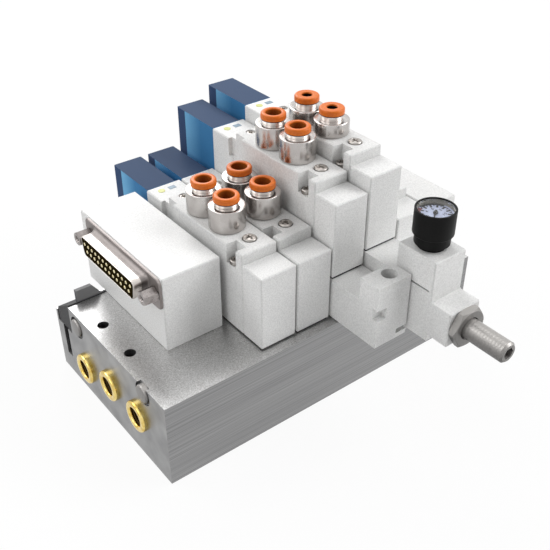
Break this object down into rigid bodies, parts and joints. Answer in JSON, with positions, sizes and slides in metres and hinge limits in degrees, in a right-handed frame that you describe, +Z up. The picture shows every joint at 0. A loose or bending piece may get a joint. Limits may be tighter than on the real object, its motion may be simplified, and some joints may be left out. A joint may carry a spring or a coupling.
{
  "type": "pneumatic valve island",
  "caption": "Pneumatic valve island: ported aluminium base with a row of pilot valves, push-in tube fittings, a multipole connector head and a regulator station with gauge.",
  "frame": {"origin": "centre of the base's underside", "axes": "+X along the row from the connector head to the blank station, +Y towards the pilot covers, +Z up"},
  "size_m": [0.149, 0.1636, 0.1033],
  "materials": {
    "extruded_aluminium": "brushed and clear anodised",
    "turned_brass": "turned",
    "plated_steel": "bright zinc plate",
    "black_plastic": "matt",
    "white_plastic": "fine grain",
    "circuit_board": "solder mask",
    "tinned_steel": "tinned",
    "black_insulator": "matt",
    "gold_contacts": "gold flash",
    "blue_plastic": "fine grain",
    "coil_varnish": "varnished winding",
    "nickel_plated_brass": "polished nickel plate",
    "gasket_rubber": "matt",
    "white_casting": "white powder coat",
    "black_case": "satin",
    "dial_face": "printed",
    "clear_lens": "clear",
    "adjuster_steel": "zinc plate",
    "pointer_paint": "matt",
    "spool_aluminium": "ground",
    "orange_plastic": "moulded",
    "override_green": "moulded",
    "override_blue": "moulded"
  },
  "bodies": {
    "island": {"manifold_base": "extruded_aluminium", "port_inserts": "turned_brass", "end_screws": "plated_steel", "rear_duct_cover": "black_plastic", "connector_housing": "white_plastic", "connector_board": "circuit_board", "dsub_shell": "tinned_steel", "dsub_insulator": "black_insulator", "dsub_contacts": "gold_contacts", "dsub_jackscrews": "plated_steel", "valve_body_1": "white_casting", "valve_body_2": "white_casting", "valve_body_3": "white_casting", "valve_body_4": "white_casting", "valve_body_5": "white_casting", "end_covers": "white_plastic", "pilot_adapters": "white_plastic", "pilot_covers": "blue_plastic", "pilot_coils": "coil_varnish", "fitting_sleeves": "nickel_plated_brass", "valve_screws": "plated_steel", "station_gaskets": "gasket_rubber", "supply_spacer": "white_casting", "regulator_body": "white_casting", "gauge_block": "white_casting", "adjuster_housing": "white_casting", "gauge_case": "black_case", "gauge_dial": "dial_face", "gauge_lens": "clear_lens", "blanking_block": "white_casting"},
    "spool_1": {"spool_1": "spool_aluminium"},
    "release_ring_1a": {"release_ring_1a": "orange_plastic"},
    "override_1a": {"override_1a": "override_green"},
    "release_ring_1b": {"release_ring_1b": "orange_plastic"},
    "override_1b": {"override_1b": "override_blue"},
    "spool_2": {"spool_2": "spool_aluminium"},
    "release_ring_2a": {"release_ring_2a": "orange_plastic"},
    "override_2a": {"override_2a": "override_green"},
    "release_ring_2b": {"release_ring_2b": "orange_plastic"},
    "override_2b": {"override_2b": "override_blue"},
    "spool_3": {"spool_3": "spool_aluminium"},
    "release_ring_3a": {"release_ring_3a": "orange_plastic"},
    "override_3a": {"override_3a": "override_green"},
    "release_ring_3b": {"release_ring_3b": "orange_plastic"},
    "override_3b": {"override_3b": "override_blue"},
    "spool_4": {"spool_4": "spool_aluminium"},
    "release_ring_4a": {"release_ring_4a": "orange_plastic"},
    "override_4a": {"override_4a": "override_green"},
    "release_ring_4b": {"release_ring_4b": "orange_plastic"},
    "override_4b": {"override_4b": "override_blue"},
    "spool_5": {"spool_5": "spool_aluminium"},
    "release_ring_5a": {"release_ring_5a": "orange_plastic"},
    "override_5a": {"override_5a": "override_green"},
    "release_ring_5b": {"release_ring_5b": "orange_plastic"},
    "override_5b": {"override_5b": "override_blue"},
    "spring_seat": {"spring_seat": "plated_steel"},
    "adjusting_screw": {"adjusting_screw": "adjuster_steel"},
    "lock_nut": {"lock_nut": "adjuster_steel"},
    "gauge_pointer": {"gauge_pointer": "pointer_paint"}
  },
  "joints": [
    {"name": "spool_1_slide", "type": "slide", "parent": "island", "child": "spool_1", "axis": [0, 1, 0], "range_m": [0, 0.0025]},
    {"name": "release_ring_1a_press", "type": "slide", "parent": "island", "child": "release_ring_1a", "axis": [0, 0, -1], "range_m": [0, 0.0013], "stiffness_N_per_m": 400, "springref_m": -0.002},
    {"name": "override_1a_press", "type": "slide", "parent": "island", "child": "override_1a", "axis": [0, 0, -1], "range_m": [0, 0.0012], "stiffness_N_per_m": 300, "springref_m": -0.001},
    {"name": "release_ring_1b_press", "type": "slide", "parent": "island", "child": "release_ring_1b", "axis": [0, 0, -1], "range_m": [0, 0.0013], "stiffness_N_per_m": 400, "springref_m": -0.002},
    {"name": "override_1b_press", "type": "slide", "parent": "island", "child": "override_1b", "axis": [0, 0, -1], "range_m": [0, 0.0012], "stiffness_N_per_m": 300, "springref_m": -0.001},
    {"name": "spool_2_slide", "type": "slide", "parent": "island", "child": "spool_2", "axis": [0, 1, 0], "range_m": [0, 0.0025]},
    {"name": "release_ring_2a_press", "type": "slide", "parent": "island", "child": "release_ring_2a", "axis": [0, 0, -1], "range_m": [0, 0.0013], "stiffness_N_per_m": 400, "springref_m": -0.002},
    {"name": "override_2a_press", "type": "slide", "parent": "island", "child": "override_2a", "axis": [0, 0, -1], "range_m": [0, 0.0012], "stiffness_N_per_m": 300, "springref_m": -0.001},
    {"name": "release_ring_2b_press", "type": "slide", "parent": "island", "child": "release_ring_2b", "axis": [0, 0, -1], "range_m": [0, 0.0013], "stiffness_N_per_m": 400, "springref_m": -0.002},
    {"name": "override_2b_press", "type": "slide", "parent": "island", "child": "override_2b", "axis": [0, 0, -1], "range_m": [0, 0.0012], "stiffness_N_per_m": 300, "springref_m": -0.001},
    {"name": "spool_3_slide", "type": "slide", "parent": "island", "child": "spool_3", "axis": [0, 1, 0], "range_m": [0, 0.0025]},
    {"name": "release_ring_3a_press", "type": "slide", "parent": "island", "child": "release_ring_3a", "axis": [0, 0, -1], "range_m": [0, 0.0013], "stiffness_N_per_m": 400, "springref_m": -0.002},
    {"name": "override_3a_press", "type": "slide", "parent": "island", "child": "override_3a", "axis": [0, 0, -1], "range_m": [0, 0.0012], "stiffness_N_per_m": 300, "springref_m": -0.001},
    {"name": "release_ring_3b_press", "type": "slide", "parent": "island", "child": "release_ring_3b", "axis": [0, 0, -1], "range_m": [0, 0.0013], "stiffness_N_per_m": 400, "springref_m": -0.002},
    {"name": "override_3b_press", "type": "slide", "parent": "island", "child": "override_3b", "axis": [0, 0, -1], "range_m": [0, 0.0012], "stiffness_N_per_m": 300, "springref_m": -0.001},
    {"name": "spool_4_slide", "type": "slide", "parent": "island", "child": "spool_4", "axis": [0, 1, 0], "range_m": [0, 0.0025]},
    {"name": "release_ring_4a_press", "type": "slide", "parent": "island", "child": "release_ring_4a", "axis": [0, 0, -1], "range_m": [0, 0.0013], "stiffness_N_per_m": 400, "springref_m": -0.002},
    {"name": "override_4a_press", "type": "slide", "parent": "island", "child": "override_4a", "axis": [0, 0, -1], "range_m": [0, 0.0012], "stiffness_N_per_m": 300, "springref_m": -0.001},
    {"name": "release_ring_4b_press", "type": "slide", "parent": "island", "child": "release_ring_4b", "axis": [0, 0, -1], "range_m": [0, 0.0013], "stiffness_N_per_m": 400, "springref_m": -0.002},
    {"name": "override_4b_press", "type": "slide", "parent": "island", "child": "override_4b", "axis": [0, 0, -1], "range_m": [0, 0.0012], "stiffness_N_per_m": 300, "springref_m": -0.001},
    {"name": "spool_5_slide", "type": "slide", "parent": "island", "child": "spool_5", "axis": [0, 1, 0], "range_m": [0, 0.0025]},
    {"name": "release_ring_5a_press", "type": "slide", "parent": "island", "child": "release_ring_5a", "axis": [0, 0, -1], "range_m": [0, 0.0013], "stiffness_N_per_m": 400, "springref_m": -0.002},
    {"name": "override_5a_press", "type": "slide", "parent": "island", "child": "override_5a", "axis": [0, 0, -1], "range_m": [0, 0.0012], "stiffness_N_per_m": 300, "springref_m": -0.001},
    {"name": "release_ring_5b_press", "type": "slide", "parent": "island", "child": "release_ring_5b", "axis": [0, 0, -1], "range_m": [0, 0.0013], "stiffness_N_per_m": 400, "springref_m": -0.002},
    {"name": "override_5b_press", "type": "slide", "parent": "island", "child": "override_5b", "axis": [0, 0, -1], "range_m": [0, 0.0012], "stiffness_N_per_m": 300, "springref_m": -0.001},
    {"name": "spring_seat_slide", "type": "slide", "parent": "island", "child": "spring_seat", "axis": [0, 1, 0], "range_m": [-0.00187, 0.00187]},
    {"name": "adjusting_screw_turn", "type": "hinge", "parent": "spring_seat", "child": "adjusting_screw", "pos_m": [0.025, -0.0813, 0.0476], "axis": [0, 1, 0], "range_deg": [-540, 540]},
    {"name": "lock_nut_turn", "type": "hinge", "parent": "island", "child": "lock_nut", "pos_m": [0.025, -0.0812, 0.0476], "axis": [0, 1, 0], "range_deg": [-360, 0]},
    {"name": "gauge_pointer_turn", "type": "hinge", "parent": "island", "child": "gauge_pointer", "pos_m": [0.025, -0.0613, 0.083], "axis": [0, 0, 1], "range_deg": [-270, 0], "stiffness_Nm_per_rad": 0.00002}
  ],
  "couplings": [
    {"joint": "adjusting_screw_turn", "follows": "spring_seat_slide", "rad_per_m": 5026.5}
  ]
}
